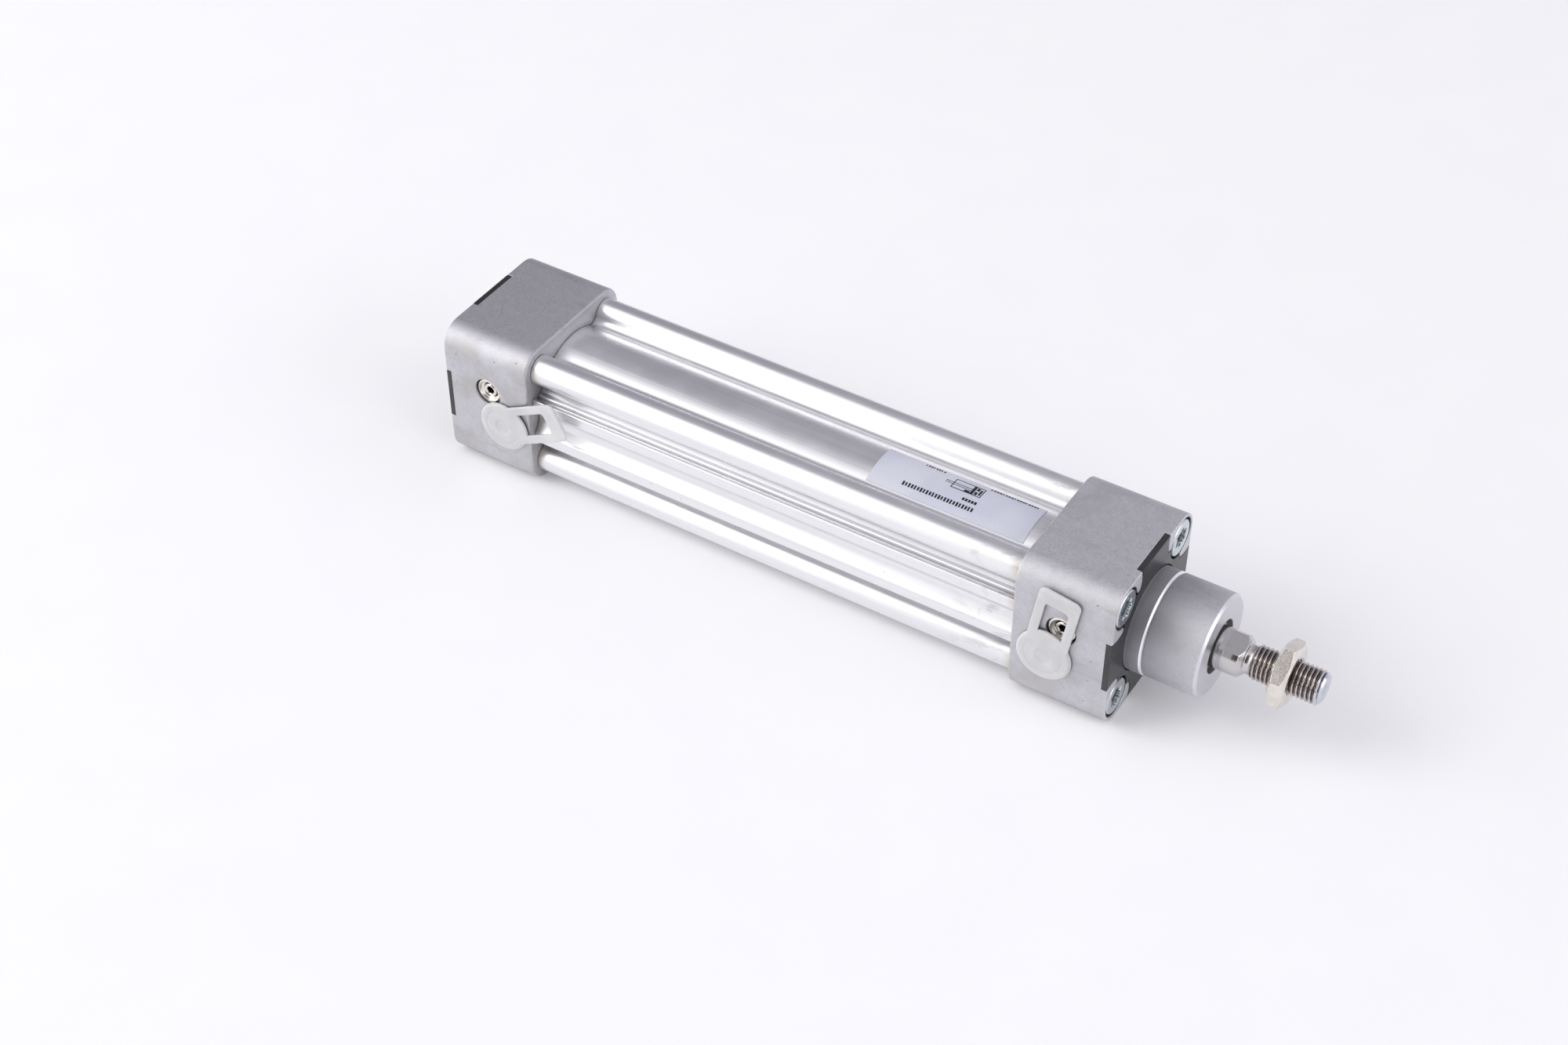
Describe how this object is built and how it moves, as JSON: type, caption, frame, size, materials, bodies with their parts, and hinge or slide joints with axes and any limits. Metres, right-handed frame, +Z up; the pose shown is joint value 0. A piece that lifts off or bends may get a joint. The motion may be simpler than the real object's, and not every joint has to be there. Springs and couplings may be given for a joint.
{
  "type": "pneumatic cylinder",
  "caption": "Double-acting profile-tube pneumatic cylinder with square end caps, round front collar, threaded piston rod with jam nut, adjustable end cushioning and pull-out port plugs.",
  "frame": {"origin": "centre of the floor of the rear cap's centring recess, on the cylinder axis", "axes": "+X along the cylinder axis towards the rod end, +Z up through the label, -Y out of the air ports"},
  "size_m": [0.27, 0.0481, 0.0468],
  "materials": {
    "cast_aluminium": "bead-blasted die casting, fine matt grain",
    "anodised_extrusion": "satin natural anodised extrusion with faint lengthwise lines",
    "label_film": "glossy pale lavender printed film",
    "rod_steel": "hard chromed and polished, zinc-blue thread",
    "nickel": "nickel plated, slightly warm",
    "piston_aluminium": "turned",
    "magnet": "plastic-bonded ferrite",
    "bearing_plastic": "filled PTFE, brown",
    "seal_rubber": "nitrile, matt",
    "brass_sleeve": "turned brass",
    "zinc_steel": "blue zinc plated",
    "polyurethane": "polyurethane, olive brown",
    "sintered_bronze": "sintered bronze",
    "black_plastic": "moulded, satin black",
    "plug_plastic": "translucent milky polyethylene"
  },
  "bodies": {
    "housing": {"barrel": "anodised_extrusion", "front_barrel_o_ring": "seal_rubber", "front_cap": "cast_aluminium", "front_cover_plate": "black_plastic", "front_cushion_bush": "nickel", "front_cushion_seal": "polyurethane", "front_flange_screw_1": "zinc_steel", "front_flange_screw_2": "zinc_steel", "front_flange_screw_3": "zinc_steel", "front_flange_screw_4": "zinc_steel", "rear_barrel_o_ring": "seal_rubber", "rear_cap": "cast_aluminium", "rear_cover_plate": "black_plastic", "rear_cushion_bush": "nickel", "rear_cushion_seal": "polyurethane", "rear_flange_screw_1": "zinc_steel", "rear_flange_screw_2": "zinc_steel", "rear_flange_screw_3": "zinc_steel", "rear_flange_screw_4": "zinc_steel", "rod_bush": "sintered_bronze", "rod_seal": "polyurethane", "type_label": "label_film"},
    "guide_ring": {"piston_guide_ring": "bearing_plastic"},
    "rod_unit": {"piston_rod": "rod_steel", "piston_rear_half": "piston_aluminium", "piston_front_half": "piston_aluminium", "piston_magnet": "magnet", "piston_front_seal": "seal_rubber", "piston_rear_seal": "seal_rubber", "rear_cushion_sleeve": "brass_sleeve", "front_cushion_sleeve": "brass_sleeve", "piston_nut": "zinc_steel"},
    "jam_nut": {"rod_nut": "nickel"},
    "rear_cushion_seal_ring": {"rear_cushion_o_ring": "seal_rubber"},
    "rear_cushion_needle": {"rear_cushion_screw": "nickel"},
    "rear_plug": {"rear_port_plug": "plug_plastic"},
    "front_cushion_seal_ring": {"front_cushion_o_ring": "seal_rubber"},
    "front_cushion_needle": {"front_cushion_screw": "nickel"},
    "front_plug": {"front_port_plug": "plug_plastic"}
  },
  "joints": [
    {"name": "rod_slide", "type": "slide", "parent": "housing", "child": "guide_ring", "axis": [1, 0, 0], "range_m": [-0.003, 0.122]},
    {"name": "rod_spin", "type": "hinge", "parent": "guide_ring", "child": "rod_unit", "pos_m": [0.05, 0, 0], "axis": [1, 0, 0], "continuous": true},
    {"name": "jam_nut_spin", "type": "hinge", "parent": "rod_unit", "child": "jam_nut", "pos_m": [0.2551, 0, 0], "axis": [1, 0, 0], "continuous": true},
    {"name": "rear_cushion_travel", "type": "slide", "parent": "housing", "child": "rear_cushion_seal_ring", "axis": [0, -1, 0], "range_m": [-0.0005, 0.001]},
    {"name": "rear_cushion_turn", "type": "hinge", "parent": "rear_cushion_seal_ring", "child": "rear_cushion_needle", "pos_m": [0.011, -0.0205, 0.0061], "axis": [0, -1, 0], "range_deg": [-361, 721]},
    {"name": "rear_plug_pull", "type": "slide", "parent": "housing", "child": "rear_plug", "axis": [0, -1, 0], "range_m": [0, 0.012]},
    {"name": "front_cushion_travel", "type": "slide", "parent": "housing", "child": "front_cushion_seal_ring", "axis": [0, -1, 0], "range_m": [-0.0005, 0.001]},
    {"name": "front_cushion_turn", "type": "hinge", "parent": "front_cushion_seal_ring", "child": "front_cushion_needle", "pos_m": [0.2, -0.0205, 0.0061], "axis": [0, -1, 0], "range_deg": [-361, 721]},
    {"name": "front_plug_pull", "type": "slide", "parent": "housing", "child": "front_plug", "axis": [0, -1, 0], "range_m": [0, 0.012]}
  ],
  "couplings": [
    {"joint": "rear_cushion_turn", "follows": "rear_cushion_travel", "rad_per_m": 12566},
    {"joint": "front_cushion_turn", "follows": "front_cushion_travel", "rad_per_m": 12566}
  ]
}
